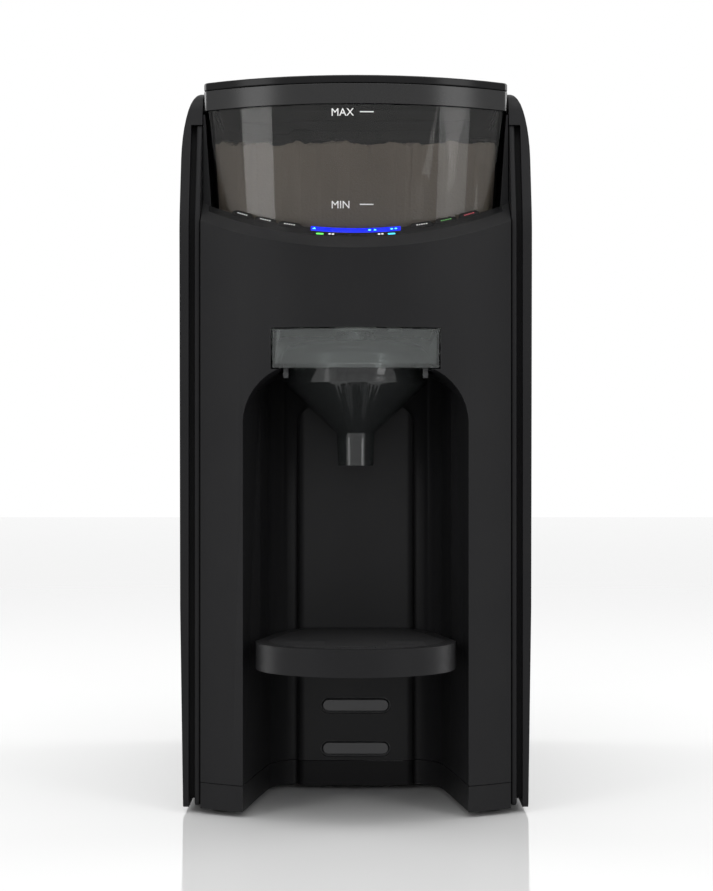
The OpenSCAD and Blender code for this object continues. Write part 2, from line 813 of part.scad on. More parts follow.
module water_nozzle() {
    color([0.8, 0.8, 0.82]) translate([nozzle_x, nozzle_y, 0]) {
        translate([0, 0, drawer_top + 1]) ring(4, 2, 14);
        translate([0, 0, deck_z + wall]) ring(6.5, 3.9, 2);
    }
}

// Funnel drawer
module drawer_rails() {
    color([0.3, 0.3, 0.32]) both_sides() difference() {
        translate([drawer_half + clear, front_y + 20, rail_z - 3])
            cube([6, drawer_back - front_y - 22, deck_z - rail_z + 2.95]);
        translate([drawer_half + clear - 1, front_y + 19, rail_z - clear])
            cube([tongue + 1 + clear, drawer_back - front_y - 19, 2 + 2 * clear]);
    }
}

module funnel_drawer() {
    seat = funnel_r + 3.2;
    color([0.45, 0.5, 0.48, 0.5]) {
        difference() {
            curved_block(drawer_half, 1.2, drawer_back, drawer_z, drawer_top);
            intersection() {
                curved_block(drawer_half - 1.6, 4.2, drawer_back - 1.6, drawer_z + wall, drawer_top + 1);
                translate([-big / 2, -big / 2, drawer_z + wall]) cube([big, big, big]);
            }
            translate([0, funnel_y, drawer_z - 1]) cylinder(r = funnel_r + 0.5, h = 10);
            translate([0, funnel_y, drawer_z + wall]) cylinder(r = seat, h = 2.6);
            translate([-drawer_half - 1, front_y + 24, drawer_top - 4])
                cube([2 * drawer_half + 2, big, 10]);
        }
        both_sides() translate([drawer_half - 0.1, drawer_back - 4 - tongue_l, rail_z])
            cube([tongue, tongue_l, 2]);
    }
}

module mixing_funnel() {
    top = drawer_z + wall + 2.4;
    color([0.15, 0.16, 0.16, 0.7]) translate([0, funnel_y, 0]) rotate_extrude() polygon([
        [funnel_r + 2.8, top], [funnel_r + 2.8, top - 2.3], [funnel_r, top - 2.3], [funnel_r, top - 12],
        [neck_r, neck_z], [neck_r - 0.6, spout_z], [neck_r - 0.6 - funnel_wall, spout_z],
        [neck_r - funnel_wall, neck_z + 1], [funnel_r - funnel_wall, top - 11],
        [funnel_r - funnel_wall, top]]);
}

// Low dome that rests on the funnel's rim and keeps the powder in
module funnel_hood() {
    low = drawer_z + wall + 2.5;
    rise = 11;
    eye = funnel_r - 14;
    color([0.1, 0.11, 0.11, 0.7]) translate([0, funnel_y, low]) rotate_extrude() polygon(concat(
        [for (i = [0 : 10]) [eye + (funnel_r + 2.4 - eye) * cos(i * 9), rise * sin(i * 9)]],
        [for (i = [10 : -1 : 0]) [eye + (funnel_r + 0.8 - eye) * cos(i * 9), (rise - 1.5) * sin(i * 9)]]));
}

module drawer_clips() {
    color([0.7, 0.7, 0.72]) both_sides() translate([funnel_r - 3, funnel_y - 26, drawer_z - 4.6]) {
        cube([2.6, 5, 4.55]);
        translate([1.3, -0.8, 2]) rotate([-90, 0, 0]) cylinder(r = 1.5, h = 6.4, $fn = 32);
    }
}

// Bottle stand
// Plan of the stand: a round front and sides that follow the bay
module stand_plan(inset) {
    half = stand_half - inset;
    bulge = front_y - stand_reach + inset;
    front_arc = 42;
    back = column_y - 0.6 - inset;
    polygon(rounded(concat(
        [for (i = [-8 : 8]) let (a = i * 10) [half * sin(a), bulge + front_arc * (1 - cos(a)), 0]],
        [[half + 0.5, bulge + front_arc + 2, 0], [half - 9, front_y + 60, 20],
         [column_w / 2 - 4, back, 6], [-column_w / 2 + 4, back, 6],
         [-half + 9, front_y + 60, 20], [-half - 0.5, bulge + front_arc + 2, 0]])));
}

module stand_slots(extra, z0, h) {
    for (x = [-1, 1], i = [0 : 4])
        translate([x * 27, front_y - stand_reach + 16 + i * 6.2, z0]) pill(22 + extra, 2.6 + extra, h);
    translate([0, front_y - stand_reach + 14, z0]) pill(22 + extra, 5 + extra, h);
}

module bottle_stand() {
    low = stand_z - stand_t;
    color(housing_color) {
        difference() {
            translate([0, 0, low]) linear_extrude(height = stand_t) stand_plan(0);
            translate([0, 0, low - 1]) linear_extrude(height = stand_t - 4) stand_plan(2.4);
            translate([0, 0, stand_z - 1.2]) linear_extrude(height = 3) stand_plan(6);
            stand_slots(0, low, stand_t + 1);
        }
        slot_hook();
    }
}

// Hook behind the stand that fits a slot of the column
module slot_hook() {
    slot_bar(slot_l - 1.6, slot_h - 1.6, column_y - 2, column_y + column_t - 1, hook_z);
    translate([-14, column_y - 3, hook_z - 3]) cube([28, 2.6, stand_z + 0.6 - hook_z]);
}

module stand_grille() {
    color([0.2, 0.2, 0.21]) difference() {
        translate([0, 0, stand_z - 1.2]) linear_extrude(height = 1.1) stand_plan(6.25);
        stand_slots(0.2, stand_z - 3, 6);
    }
}

// Water tank
module tank_outline(inset) {
    half = tank_half - inset;
    front = tank_front + inset;
    back = tank_back - inset;
    front_round = tank_round - inset / 2;
    back_round = front_round + 8;
    polygon(rounded([[-half, front, front_round], [half, front, front_round],
        [half, back, back_round], [-half, back, back_round]]));
}

module water_tank() {
    color([0.6, 0.72, 0.78, 0.4]) {
        difference() {
            translate([0, 0, tank_z]) linear_extrude(height = tank_top - tank_z) tank_outline(0);
            translate([0, 0, tank_z + wall]) linear_extrude(height = tank_top) tank_outline(wall);
            translate([0, valve_y, tank_z - 1]) cylinder(r = valve_r - 1.6, h = wall + 2);
        }
        translate([0, valve_y, tank_z - 5]) ring(valve_r, valve_r - 1.6, 5 + 0.5);
        translate([0, valve_y, tank_z + 6]) ring(valve_r - 1, 2.2, 1.6);
        for (a = [0 : 120 : 240]) translate([0, valve_y, tank_z + wall - eps]) rotate([0, 0, a + 30])
            translate([valve_r - 2.4, -1, 0]) cube([1.4, 2, 6 - wall]);
    }
}

module tank_lid() {
    color([0.1, 0.1, 0.11]) difference() {
        union() {
            intersection() {
                translate([0, 0, tank_top + 0.5]) linear_extrude(height = 2.8) tank_outline(0);
                translate([-big / 2, hinge_y - big, tank_top]) cube([big, big, 10]);
            }
            hinge_rod(30, hinge_r);
            translate([-12, tank_front + 3, tank_top + 3.2]) cube([24, 6, 2.6]);
        }
        hinge_rod(31, pin_r + run_fit);
        for (x = [-ear_x, ear_x]) translate([x - ear_w / 2 - 0.8, hinge_y - hinge_r - 1.2, tank_top])
            cube([ear_w + 1.6, 2 * hinge_r + 3, 12]);
    }
}

// A rod along the axis of the tank's lid
module hinge_rod(half, r) {
    translate([-half, hinge_y, hinge_z]) rotate([0, 90, 0]) cylinder(r = r, h = 2 * half);
}

module tank_hinge_pin() {
    color([0.7, 0.7, 0.72]) hinge_rod(31, pin_r);
    color([0.6, 0.72, 0.78]) for (x = [-ear_x, ear_x]) difference() {
        union() {
            translate([x - ear_w / 2, hinge_y - hinge_r, tank_top - 6])
                cube([ear_w, tank_back - wall - hinge_y + hinge_r, 6 + hinge_z - tank_top]);
            translate([x - ear_w / 2, hinge_y, hinge_z]) rotate([0, 90, 0]) cylinder(r = hinge_r, h = ear_w);
        }
        hinge_rod(ear_x + ear_w, pin_r);
    }
}

module tank_valve() {
    color([0.2, 0.2, 0.22]) translate([0, valve_y, 0]) {
        translate([0, 0, tank_z - 3.4]) cylinder(r = 2.1 - run_fit, h = 16);
        translate([0, 0, tank_z - 3.4]) cylinder(r = valve_r - 2.4, h = 2);
        translate([0, 0, tank_z + 12.5]) cylinder(r = 4, h = 1.5);
    }
}

module valve_spring() {
    color([0.75, 0.75, 0.76]) translate([0, valve_y, tank_z - 1]) for (i = [0 : 2])
        translate([0, 0, i * 2.2]) ring(3.6, 2.6, 0.9);
}

module tank_float() {
    color([0.9, 0.45, 0.1]) translate([float_x, float_y, tank_z + wall + 4]) cylinder(r = 7, h = 16);
}

module float_cage() {
    color([0.8, 0.8, 0.8]) translate([float_x, float_y, tank_z + wall]) for (a = [45 : 90 : 315])
        rotate([0, 0, a]) translate([8.6, 0, 0]) cylinder(r = 1.2, h = 90, $fn = 32);
    color([0.8, 0.8, 0.8]) translate([float_x, float_y, tank_z + wall + 90 - eps]) ring(10, 6, 2);
}

module tank_dock() {
    color([0.15, 0.15, 0.16]) translate([0, valve_y, 0]) difference() {
        union() {
            translate([0, 0, shelf_z - 8]) cylinder(r = valve_r + 4.6, h = 8 + wall);
            translate([0, 0, shelf_z - 20]) cylinder(r = 4, h = 12.5);
        }
        translate([0, 0, shelf_z - 6]) cylinder(r = valve_r + 1.6, h = 20);
        translate([0, 0, shelf_z - 21]) cylinder(r = 2.4, h = 20);
    }
}

module dock_seal() {
    color([0.55, 0.1, 0.1]) translate([0, valve_y, shelf_z - 5.98])
        ring(valve_r + 1.55, valve_r - 1.4, 3);
}

// Water path and electrics
module water_pump() {
    color([0.85, 0.85, 0.83]) translate([pump_x, pump_y, base_top + 12]) {
        cylinder(r = 19, h = 30);
        translate([0, 0, 30 - eps]) cylinder(r = 13, h = 34);
        translate([0, 0, 64 - 2 * eps]) cylinder(r = 3.5, h = 8);
        translate([-26, 0, 8]) rotate([0, 90, 0]) cylinder(r = 3.5, h = 10);
    }
    color([0.1, 0.1, 0.1]) translate([pump_x, pump_y, foot_h + wall + 0.05])
        cylinder(r = 16, h = base_top + 11.9 - foot_h - wall);
}

module heater() {
    color([0.75, 0.75, 0.77]) translate([heater_x, heater_y, 0]) {
        translate([0, 0, 88]) cylinder(r = 15, h = 96);
        translate([0, 0, 80]) cylinder(r = 3.5, h = 8.01);
        translate([0, 0, 183.9]) cylinder(r = 3.5, h = 8);
        translate([-20, -17, 100]) cube([40, 4, 72]);
    }
    color([0.75, 0.75, 0.73]) translate([heater_x - 20, bay_y + wall + 4.5, 96])
        cube([40, heater_y - 21.6 - bay_y - wall, 80]);
}

// Straight hose between two points, its ends cut square
module hose(a, b) {
    d = b - a;
    l = norm(d);
    translate(a) rotate([0, acos(d.z / l), atan2(d.y, d.x)]) ring(3.4, 2, l);
}

module hoses() {
    top = 194;
    color([0.85, 0.85, 0.82]) {
        hose([0, valve_y, shelf_z - 20.1], [0, valve_y, shelf_z - 34]);
        hose([heater_x, heater_y, 60], [heater_x, heater_y, 79.9]);
        hose([heater_x, heater_y, top - 2], [heater_x, heater_y, top + 30]);
        hose([pump_x, pump_y, base_top + 84.2], [pump_x, pump_y, base_top + 110]);
        translate([nozzle_x, nozzle_y, drawer_top + 15.05]) ring(4, 2, 6);
    }
}

module power_board() {
    color([0.05, 0.3, 0.15]) translate([-64, rear_y - 34, base_top + 8]) cube([70, 1.6, 34]);
    color([0.15, 0.15, 0.16]) {
        translate([-58, rear_y - 32.41, base_top + 12]) cube([14, 10, 22]);
        translate([-36, rear_y - 32.41, base_top + 14]) cube([18, 12, 16]);
        translate([-10, rear_y - 32.41, base_top + 12]) cube([10, 8, 24]);
    }
}

base_pan();
feet();
front_shell();
stand_column();
slot_plates();
rear_shell();
tank_wall();
top_bridge();
side_panels();
side_channels();
side_strips();
tub_cheeks();
inner_deck();
tub_seat();
control_fascia();
display();
indicator_lights();
button_1();
button_2();
button_3();
button_4();
button_5();
button_6();
main_board();
powder_tub();
tub_collar();
tub_lid();
lid_seal();
measuring_wheel();
stirring_wheel();
scraper_plate();
hub_cap();
drive_gear();
motor_pinion();
gear_motor();
powder_chute();
water_nozzle();
drawer_rails();
funnel_drawer();
mixing_funnel();
funnel_hood();
drawer_clips();
bottle_stand();
stand_grille();
water_tank();
tank_lid();
tank_hinge_pin();
tank_valve();
valve_spring();
tank_float();
float_cage();
tank_dock();
dock_seal();
water_pump();
heater();
hoses();
power_board();
cord_gland();
case_screws();
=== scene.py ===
import json
import math

import bmesh
import bpy
from mathutils import Matrix, Vector, noise


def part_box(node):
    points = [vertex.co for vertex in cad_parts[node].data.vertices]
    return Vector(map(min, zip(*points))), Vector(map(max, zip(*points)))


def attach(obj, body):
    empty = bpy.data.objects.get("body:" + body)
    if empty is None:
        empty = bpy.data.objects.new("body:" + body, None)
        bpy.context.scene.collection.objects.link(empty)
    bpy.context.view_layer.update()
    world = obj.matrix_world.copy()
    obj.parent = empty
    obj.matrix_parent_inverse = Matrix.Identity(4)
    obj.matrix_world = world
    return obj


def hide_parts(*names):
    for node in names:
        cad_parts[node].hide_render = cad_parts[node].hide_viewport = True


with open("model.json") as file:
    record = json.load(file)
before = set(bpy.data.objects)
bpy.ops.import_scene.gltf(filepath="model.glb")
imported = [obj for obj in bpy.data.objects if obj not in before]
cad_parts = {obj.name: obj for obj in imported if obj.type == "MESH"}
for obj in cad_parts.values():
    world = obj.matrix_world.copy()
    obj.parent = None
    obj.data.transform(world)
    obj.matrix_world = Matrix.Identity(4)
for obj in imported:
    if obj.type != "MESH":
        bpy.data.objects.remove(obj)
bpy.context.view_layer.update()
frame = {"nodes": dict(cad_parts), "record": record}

bodyOf = {node: body for body, nodes in frame["record"]["behaviour"]["bodies"].items() for node in nodes}

# the few shapes that the frame's boxes can't tell: metres and degrees, as the CAD model has them
form = {
    "frontRadius": 0.164,
    "stripTilt": 36,
    "creaseHeight": 0.307,
    "border": 0.0095,
    "wall": 0.0024,
    "taper": 0.925,
}
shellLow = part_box("front_shell")[0]
frontY = shellLow.y
arcY = frontY + form["frontRadius"]
tilt = math.radians(form["stripTilt"])
stripNormal = Vector((0, -math.sin(tilt), math.cos(tilt)))

# camera and light
view = {"distance": 1.084, "height": 0.201, "lens": 72.7, "shiftX": 0.0009, "shiftY": 0.0006}

def makeCamera():
    camera = bpy.data.objects.new("studioCamera", bpy.data.cameras.new("studioCamera"))
    bpy.context.scene.collection.objects.link(camera)
    camera.data.sensor_fit = "VERTICAL"
    camera.data.sensor_height = 36
    camera.data.lens = view["lens"]
    camera.data.shift_x = view["shiftX"]
    camera.data.shift_y = view["shiftY"]
    camera.location = (0, -view["distance"], view["height"])
    camera.rotation_euler = (math.radians(90), 0, 0)
    bpy.context.scene.camera = camera

lamps = {
    "keyLeft": {"at": (-0.92, -1.05, 0.7), "size": (0.34, 1.4), "power": 4.5},
    "keyRight": {"at": (0.92, -1.05, 0.7), "size": (0.34, 1.4), "power": 4.5},
    "rimLeft": {"at": (-1.1, 0.35, 0.45), "size": (0.5, 1.2), "power": 9},
    "rimRight": {"at": (1.1, 0.35, 0.45), "size": (0.5, 1.2), "power": 9},
    "overhead": {"at": (0, -0.5, 1.7), "size": (1.2, 0.9), "power": 8},
}

def makeLamps():
    for name, lamp in lamps.items():
        data = bpy.data.lights.new(name, "AREA")
        data.shape = "RECTANGLE"
        data.size, data.size_y = lamp["size"]
        data.energy = lamp["power"]
        light = bpy.data.objects.new(name, data)
        bpy.context.scene.collection.objects.link(light)
        light.location = lamp["at"]
        aim = Vector((0, 0, 0.2)) - light.location
        light.rotation_euler = aim.to_track_quat("-Z", "Y").to_euler()
    world = bpy.data.worlds.new("paleRoom")
    world.use_nodes = True
    world.node_tree.nodes["Background"].inputs["Color"].default_value = (1, 1, 1, 1)
    world.node_tree.nodes["Background"].inputs["Strength"].default_value = 1.0
    bpy.context.scene.world = world
    bpy.context.scene.view_settings.view_transform = "Standard"

# shader groups that several finishes share
def newGroup(name, inputs, outputs):
    group = bpy.data.node_groups.new(name, "ShaderNodeTree")
    for label, kind, value in inputs:
        made = group.interface.new_socket(label, in_out="INPUT", socket_type=kind)
        if value is not None:
            made.default_value = value
    for label, kind in outputs:
        group.interface.new_socket(label, in_out="OUTPUT", socket_type=kind)
    start = group.nodes.new("NodeGroupInput")
    end = group.nodes.new("NodeGroupOutput")
    return group, start, end

def mathNode(tree, operation, a, b=None, clamp=False):
    node = tree.nodes.new("ShaderNodeMath")
    node.operation = operation
    node.use_clamp = clamp
    for index, value in enumerate((a, b)):
        if value is None:
            continue
        if isinstance(value, (int, float)):
            node.inputs[index].default_value = value
        else:
            tree.links.new(value, node.inputs[index])
    return node.outputs[0]

def noiseNode(tree, vector, scale, detail=2.0, rough=0.5):
    node = tree.nodes.new("ShaderNodeTexNoise")
    node.inputs["Detail"].default_value = detail
    node.inputs["Roughness"].default_value = rough
    tree.links.new(vector, node.inputs["Vector"])
    if isinstance(scale, (int, float)):
        node.inputs["Scale"].default_value = scale
    else:
        tree.links.new(scale, node.inputs["Scale"])
    return node.outputs["Fac"]

def makeMouldGrain():
    # fine spark texture of a moulded skin, with slow waviness under it
    group, start, end = newGroup("mouldGrain", [("Vector", "NodeSocketVector", None),
        ("Grain Scale", "NodeSocketFloat", 2600.0), ("Grain Depth", "NodeSocketFloat", 0.12),
        ("Wave Depth", "NodeSocketFloat", 0.05)],
        [("Normal", "NodeSocketVector"), ("Grain", "NodeSocketFloat")])
    grain = noiseNode(group, start.outputs["Vector"], start.outputs["Grain Scale"], 3.0, 0.6)
    wave = noiseNode(group, start.outputs["Vector"], 18.0, 1.0)
    fine = mathNode(group, "MULTIPLY", grain, start.outputs["Grain Depth"])
    slow = mathNode(group, "MULTIPLY", wave, start.outputs["Wave Depth"])
    height = mathNode(group, "ADD", fine, slow)
    bump = group.nodes.new("ShaderNodeBump")
    bump.inputs["Strength"].default_value = 0.35
    bump.inputs["Distance"].default_value = 0.0006
    group.links.new(height, bump.inputs["Height"])
    group.links.new(bump.outputs["Normal"], end.inputs["Normal"])
    group.links.new(grain, end.inputs["Grain"])
    return group

def makeHandling():
    # faint wiped marks: a roughness that drifts over the surface
    group, start, end = newGroup("handlingMarks", [("Vector", "NodeSocketVector", None),
        ("Roughness", "NodeSocketFloat", 0.4), ("Spread", "NodeSocketFloat", 0.1)],
        [("Roughness", "NodeSocketFloat"), ("Mask", "NodeSocketFloat")])
    stretch = group.nodes.new("ShaderNodeMapping")
    stretch.inputs["Scale"].default_value = (1.0, 1.0, 0.35)
    group.links.new(start.outputs["Vector"], stretch.inputs["Vector"])
    cloud = noiseNode(group, stretch.outputs["Vector"], 24.0, 4.0, 0.62)
    speck = noiseNode(group, start.outputs["Vector"], 420.0, 2.0, 0.5)
    mixed = mathNode(group, "MULTIPLY_ADD", speck, 0.35)
    mixed.node.inputs[2].default_value = 0.0
    both = mathNode(group, "ADD", cloud, mixed)
    centred = mathNode(group, "SUBTRACT", both, 0.67)
    drift = mathNode(group, "MULTIPLY", centred, start.outputs["Spread"])
    out = mathNode(group, "ADD", start.outputs["Roughness"], drift, clamp=True)
    group.links.new(out, end.inputs["Roughness"])
    group.links.new(cloud, end.inputs["Mask"])
    return group

def makeDust():
    # a thin veil of dust on faces that look up
    group, start, end = newGroup("dustVeil", [("Vector", "NodeSocketVector", None),
        ("Base", "NodeSocketColor", None), ("Dust", "NodeSocketColor", (0.5, 0.49, 0.46, 1)),
        ("Amount", "NodeSocketFloat", 0.05)],
        [("Color", "NodeSocketColor")])
    geometry = group.nodes.new("ShaderNodeNewGeometry")
    split = group.nodes.new("ShaderNodeSeparateXYZ")
    group.links.new(geometry.outputs["Normal"], split.inputs[0])
    up = mathNode(group, "MULTIPLY_ADD", split.outputs["Z"], 0.6)
    up.node.inputs[2].default_value = 0.3
    up.node.use_clamp = True
    speck = noiseNode(group, start.outputs["Vector"], 900.0, 5.0, 0.7)
    cloud = noiseNode(group, start.outputs["Vector"], 30.0, 2.0, 0.5)
    mask = mathNode(group, "MULTIPLY", mathNode(group, "MULTIPLY", speck, cloud), up)
    amount = mathNode(group, "MULTIPLY", mask, start.outputs["Amount"], clamp=True)
    mix = group.nodes.new("ShaderNodeMix")
    mix.data_type = "RGBA"
    group.links.new(amount, mix.inputs[0])
    group.links.new(start.outputs["Base"], mix.inputs[6])
    group.links.new(start.outputs["Dust"], mix.inputs[7])
    group.links.new(mix.outputs[2], end.inputs["Color"])
    return group

groups = {"grain": makeMouldGrain(), "handling": makeHandling(), "dust": makeDust()}
print("shader groups ready")

# finishes
# colour, second colour, roughness, roughness spread, grain scale and depth, dust, then plain shader values
finishes = {
    "charcoalShell": {"color": (0.0085, 0.0085, 0.0092), "second": (0.011, 0.011, 0.0118),
        "rough": 0.42, "spread": 0.10, "grain": (2600, 0.30), "wave": 0.10, "dust": 0.04,
        "Specular IOR Level": 0.1},
    # a lighter, shinier copy of charcoalShell: painted light, standing for the light that falls on the column
    # and the bottle stand's grille inside the shaded bay
    "litShellCopy": {"color": (0.016, 0.016, 0.017), "second": (0.02, 0.02, 0.021),
        "rough": 0.42, "spread": 0.10, "grain": (2600, 0.30), "wave": 0.10, "dust": 0.04,
        "Specular IOR Level": 0.15},
    "blackTrim": {"color": (0.003, 0.003, 0.0034), "second": (0.005, 0.005, 0.0055),
        "rough": 0.5, "spread": 0.12, "grain": (2200, 0.3), "wave": 0.1, "dust": 0.03,
        "Specular IOR Level": 0.07},
    "glossBlack": {"color": (0.003, 0.003, 0.0035), "second": (0.005, 0.005, 0.0055),
        "rough": 0.16, "spread": 0.05, "grain": (900, 0.015), "wave": 0.04, "dust": 0.04,
        "Specular IOR Level": 0.15},
    "collarGrey": {"color": (0.0065, 0.0065, 0.0068), "second": (0.009, 0.009, 0.0094),
        "rough": 0.2, "spread": 0.06, "grain": (900, 0.03), "wave": 0.05, "dust": 0.04,
        "Specular IOR Level": 0.35},
    "whitePlastic": {"color": (0.62, 0.62, 0.6), "second": (0.56, 0.56, 0.54),
        "rough": 0.4, "spread": 0.15, "grain": (1800, 0.2), "wave": 0.1, "dust": 0.05},
    # grey plastic for the small grey parts; on the slot plates its lighter tone is painted light, standing
    # for the lit inner faces of the slots
    "greyPlasticAndLitSlots": {"color": (0.05, 0.05, 0.053), "second": (0.065, 0.065, 0.068),
        "rough": 0.38, "spread": 0.12, "grain": (2200, 0.25), "wave": 0.1, "dust": 0.06},
    "redPlastic": {"color": (0.5, 0.06, 0.04), "second": (0.42, 0.05, 0.03),
        "rough": 0.35, "spread": 0.12, "grain": (1800, 0.2), "wave": 0.1, "dust": 0.03},
    "orangePlastic": {"color": (0.75, 0.25, 0.04), "second": (0.65, 0.2, 0.03),
        "rough": 0.35, "spread": 0.12, "grain": (1800, 0.2), "wave": 0.1, "dust": 0.02},
    "darkRubber": {"color": (0.012, 0.012, 0.012), "second": (0.02, 0.02, 0.02),
        "rough": 0.75, "spread": 0.15, "grain": (1600, 0.5), "wave": 0.2, "dust": 0.25},
    "silicone": {"color": (0.55, 0.55, 0.52), "second": (0.48, 0.48, 0.45),
        "rough": 0.5, "spread": 0.15, "grain": (1600, 0.2), "wave": 0.1, "dust": 0.05,
        "Subsurface Weight": 0.1},
    "steel": {"color": (0.56, 0.56, 0.57), "second": (0.48, 0.48, 0.5),
        "rough": 0.28, "spread": 0.2, "grain": (3000, 0.2), "wave": 0.05, "dust": 0.02,
        "Metallic": 1.0},
    "brassGear": {"color": (0.68, 0.5, 0.22), "second": (0.55, 0.4, 0.18),
        "rough": 0.3, "spread": 0.2, "grain": (3000, 0.2), "wave": 0.05, "dust": 0.02,
        "Metallic": 1.0},
    "boardGreen": {"color": (0.01, 0.08, 0.035), "second": (0.02, 0.12, 0.05),
        "rough": 0.25, "spread": 0.12, "grain": (1500, 0.1), "wave": 0.05, "dust": 0.05},
    # the powder's colour is far darker than the pale powder itself: painted shade for the powder seen inside
    # the tub
    "powder": {"color": (0.12, 0.103, 0.086), "second": (0.075, 0.063, 0.052),
        "rough": 0.95, "spread": 0.05, "grain": (700, 1.6), "wave": 1.2, "dust": 0.0},
    "markWhite": {"color": (0.75, 0.75, 0.74), "second": (0.68, 0.68, 0.67),
        "rough": 0.45, "spread": 0.1, "grain": (2000, 0.1), "wave": 0.0, "dust": 0.0},
    "markGreen": {"color": (0.12, 0.42, 0.1), "second": (0.1, 0.36, 0.08),
        "rough": 0.45, "spread": 0.1, "grain": (2000, 0.1), "wave": 0.0, "dust": 0.0},
    "markRed": {"color": (0.55, 0.07, 0.1), "second": (0.5, 0.06, 0.08),
        "rough": 0.45, "spread": 0.1, "grain": (2000, 0.1), "wave": 0.0, "dust": 0.0},
}
# clear plastics keep plain transmission; only their roughness and fine waviness vary
clears = {
    "clearTub": {"color": (0.86, 0.85, 0.83, 1), "rough": 0.03, "spread": 0.03, "ior": 1.3, "pass": 1.0},
    "smokedFunnel": {"color": (0.085, 0.092, 0.092, 1), "rough": 0.08, "spread": 0.04, "ior": 1.46,
        "pass": 0.85},
    "smokedCover": {"color": (0.62, 0.66, 0.65, 1), "rough": 0.03, "spread": 0.02, "ior": 1.3, "pass": 0.94},
    "clearTank": {"color": (0.72, 0.82, 0.88, 1), "rough": 0.04, "spread": 0.04, "ior": 1.46, "pass": 1.0},
}
glows = {
    "screenBlue": {"base": (0.0, 0.005, 0.2), "light": (0.0, 0.012, 1.0), "power": 1.1},
    "iconCyan": {"base": (0.1, 0.4, 0.6), "light": (0.05, 0.55, 1.0), "power": 2.6},
    "lampGreen": {"base": (0.05, 0.3, 0.05), "light": (0.12, 0.75, 0.1), "power": 1.6},
    "lampCyan": {"base": (0.05, 0.3, 0.4), "light": (0.05, 0.6, 0.85), "power": 1.6},
}

def freshMaterial(name):
    material = bpy.data.materials.new(name)
    material.use_nodes = True
    tree = material.node_tree
    place = tree.nodes.new("ShaderNodeTexCoord").outputs["Object"]
    return material, tree, tree.nodes["Principled BSDF"], place

def groupNode(tree, key, place):
    node = tree.nodes.new("ShaderNodeGroup")
    node.node_tree = groups[key]
    tree.links.new(place, node.inputs["Vector"])
    return node

def solidMaterial(name, facts):
    material, tree, shader, place = freshMaterial(name)
    handling = groupNode(tree, "handling", place)
    handling.inputs["Roughness"].default_value = facts["rough"]
    handling.inputs["Spread"].default_value = facts["spread"]
    tree.links.new(handling.outputs["Roughness"], shader.inputs["Roughness"])
    grain = groupNode(tree, "grain", place)
    grain.inputs["Grain Scale"].default_value = facts["grain"][0]
    grain.inputs["Grain Depth"].default_value = facts["grain"][1]
    grain.inputs["Wave Depth"].default_value = facts["wave"]
    tree.links.new(grain.outputs["Normal"], shader.inputs["Normal"])
    mix = tree.nodes.new("ShaderNodeMix")
    mix.data_type = "RGBA"
    mix.inputs[6].default_value = (*facts["color"], 1)
    mix.inputs[7].default_value = (*facts["second"], 1)
    tree.links.new(handling.outputs["Mask"], mix.inputs[0])
    dust = groupNode(tree, "dust", place)
    dust.inputs["Amount"].default_value = facts["dust"]
    tree.links.new(mix.outputs[2], dust.inputs["Base"])
    tree.links.new(dust.outputs["Color"], shader.inputs["Base Color"])
    for key, value in facts.items():
        if key in shader.inputs:
            shader.inputs[key].default_value = value
    return material

def clearMaterial(name, facts):
    material, tree, shader, place = freshMaterial(name)
    shader.inputs["Base Color"].default_value = facts["color"]
    shader.inputs["Transmission Weight"].default_value = facts["pass"]
    shader.inputs["IOR"].default_value = facts["ior"]
    handling = groupNode(tree, "handling", place)
    handling.inputs["Roughness"].default_value = facts["rough"]
    handling.inputs["Spread"].default_value = facts["spread"]
    tree.links.new(handling.outputs["Roughness"], shader.inputs["Roughness"])
    grain = groupNode(tree, "grain", place)
    grain.inputs["Grain Depth"].default_value = 0.0
    grain.inputs["Wave Depth"].default_value = 0.12
    tree.links.new(grain.outputs["Normal"], shader.inputs["Normal"])
    return material

def glowMaterial(name, facts):
    material, tree, shader, place = freshMaterial(name)
    shader.inputs["Base Color"].default_value = (*facts["base"], 1)
    shader.inputs["Emission Strength"].default_value = facts["power"]
    speck = noiseNode(tree, place, 1400.0, 1.0)
    mix = tree.nodes.new("ShaderNodeMix")
    mix.data_type = "RGBA"
    mix.inputs[6].default_value = (*facts["light"], 1)
    mix.inputs[7].default_value = (*[value * 0.72 for value in facts["light"]], 1)
    tree.links.new(speck, mix.inputs[0])
    tree.links.new(mix.outputs[2], shader.inputs["Emission Color"])
    handling = groupNode(tree, "handling", place)
    handling.inputs["Roughness"].default_value = 0.15
    handling.inputs["Spread"].default_value = 0.08
    tree.links.new(handling.outputs["Roughness"], shader.inputs["Roughness"])
    return material

materials = {name: solidMaterial(name, facts) for name, facts in finishes.items()}
materials.update({name: clearMaterial(name, facts) for name, facts in clears.items()})
materials.update({name: glowMaterial(name, facts) for name, facts in glows.items()})
print("finishes ready:", len(materials))

# helpers for pieces
def finishPiece(name, bm, body, finish, smoothAngle=35):
    mesh = bpy.data.meshes.new(name)
    bmesh.ops.recalc_face_normals(bm, faces=bm.faces)
    for face in bm.faces:
        face.smooth = True
    bm.to_mesh(mesh)
    bm.free()
    piece = bpy.data.objects.new(name, mesh)
    bpy.context.scene.collection.objects.link(piece)
    mesh.materials.append(materials[finish])
    mesh.set_sharp_from_angle(angle=math.radians(smoothAngle))
    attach(piece, body)
    return piece

def mergedCopy(node):
    # the CAD mesh is loose triangles: weld a copy and join its flat faces
    bm = bmesh.new()
    bm.from_mesh(frame["nodes"][node].data)
    bmesh.ops.remove_doubles(bm, verts=bm.verts, dist=2e-6)
    bmesh.ops.dissolve_limit(bm, angle_limit=math.radians(0.4), verts=bm.verts, edges=bm.edges)
    return bm

